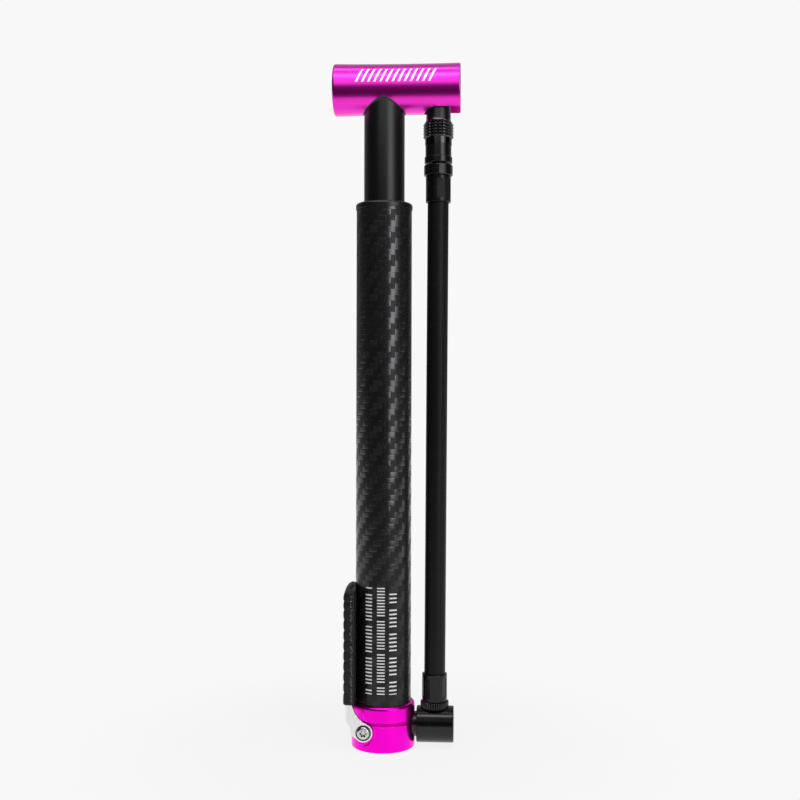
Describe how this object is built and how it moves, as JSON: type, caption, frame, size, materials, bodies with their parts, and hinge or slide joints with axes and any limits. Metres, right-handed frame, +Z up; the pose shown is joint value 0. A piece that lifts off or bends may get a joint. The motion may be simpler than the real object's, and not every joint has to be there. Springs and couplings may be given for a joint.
{
  "type": "mini pump",
  "caption": "Slim floor-standing hand pump with a carbon barrel, short T-handle, docked side hose with a knurled chuck, and a fold-down foot peg at the base.",
  "frame": {"origin": "centre of the base's lower face, on the barrel's axis", "axes": "+Z up the barrel, +X towards the hose, -Y the front with the peg's driver screw in view"},
  "size_m": [0.0549, 0.0282, 0.2955],
  "materials": {
    "carbon_fibre": "clear-lacquered 2x2 twill carbon fibre",
    "magenta_anodised": "polished and dyed anodising",
    "black_anodised": "satin anodising",
    "black_gloss": "gloss anodising",
    "bare_aluminium": "machined",
    "polished_steel": "polished stainless",
    "spring_steel": "drawn wire",
    "brass": "turned",
    "seal_rubber": "moulded",
    "hose_rubber": "extruded, fine matt",
    "grip_rubber": "moulded, grained",
    "bearing_polymer": "machined"
  },
  "bodies": {
    "barrel": {"barrel_tube": "carbon_fibre", "cylinder_liner": "bare_aluminium", "barrel_cap": "black_anodised", "rod_bush": "bearing_polymer", "wiper_seal": "seal_rubber", "tube_seal_ring": "seal_rubber", "base_cup": "magenta_anodised", "valve_seat": "brass", "valve_spring": "spring_steel", "neck_washer": "black_gloss", "hose_elbow": "black_gloss", "swivel_bolt": "spring_steel", "elbow_seals": "seal_rubber", "knurled_collar": "black_gloss", "lower_barb": "brass", "lower_ferrule": "black_anodised", "peg_screws": "polished_steel", "peg_washers": "bearing_polymer"},
    "plunger": {"piston_rod": "black_anodised", "rod_end_plug": "bare_aluminium", "rod_top_plug": "bare_aluminium", "piston_head": "bearing_polymer", "piston_seal": "seal_rubber", "piston_guide_ring": "bearing_polymer", "piston_screw": "spring_steel", "top_out_bumper": "seal_rubber", "handle": "magenta_anodised", "handle_collar": "black_anodised"},
    "foot_peg": {"peg_lever": "polished_steel", "peg_grip": "grip_rubber"},
    "hose_end": {"hose": "hose_rubber", "upper_barb": "brass", "upper_ferrule": "black_anodised", "chuck_stem": "black_gloss", "valve_pin": "brass"},
    "chuck": {"chuck_flange_ring": "black_gloss", "chuck_sleeve": "black_gloss", "chuck_head": "black_gloss", "chuck_gasket": "seal_rubber"},
    "outlet_valve": {"valve_poppet": "bearing_polymer"}
  },
  "joints": [
    {"name": "piston_slide", "type": "slide", "parent": "barrel", "child": "plunger", "axis": [0, 0, 1], "range_m": [0, 0.185]},
    {"name": "foot_peg_fold", "type": "hinge", "parent": "barrel", "child": "foot_peg", "pos_m": [-0.0075, 0, 0.0086], "axis": [0, -1, 0], "range_deg": [0, 90]},
    {"name": "hose_flex", "type": "hinge", "parent": "barrel", "child": "hose_end", "pos_m": [0.0223, 0, 0.0314], "axis": [0, 1, 0], "range_deg": [0, 25], "stiffness_Nm_per_rad": 0.3, "springref_deg": -2.86, "deforming": ["hose"]},
    {"name": "chuck_spin", "type": "hinge", "parent": "hose_end", "child": "chuck", "pos_m": [0.02345, 0, 0.26], "axis": [0, 0, 1], "continuous": true},
    {"name": "outlet_valve_lift", "type": "slide", "parent": "barrel", "child": "outlet_valve", "axis": [0, 0, -1], "range_m": [0, 0.001], "stiffness_N_per_m": 150, "springref_m": -0.0005, "deforming": ["valve_spring"]}
  ]
}
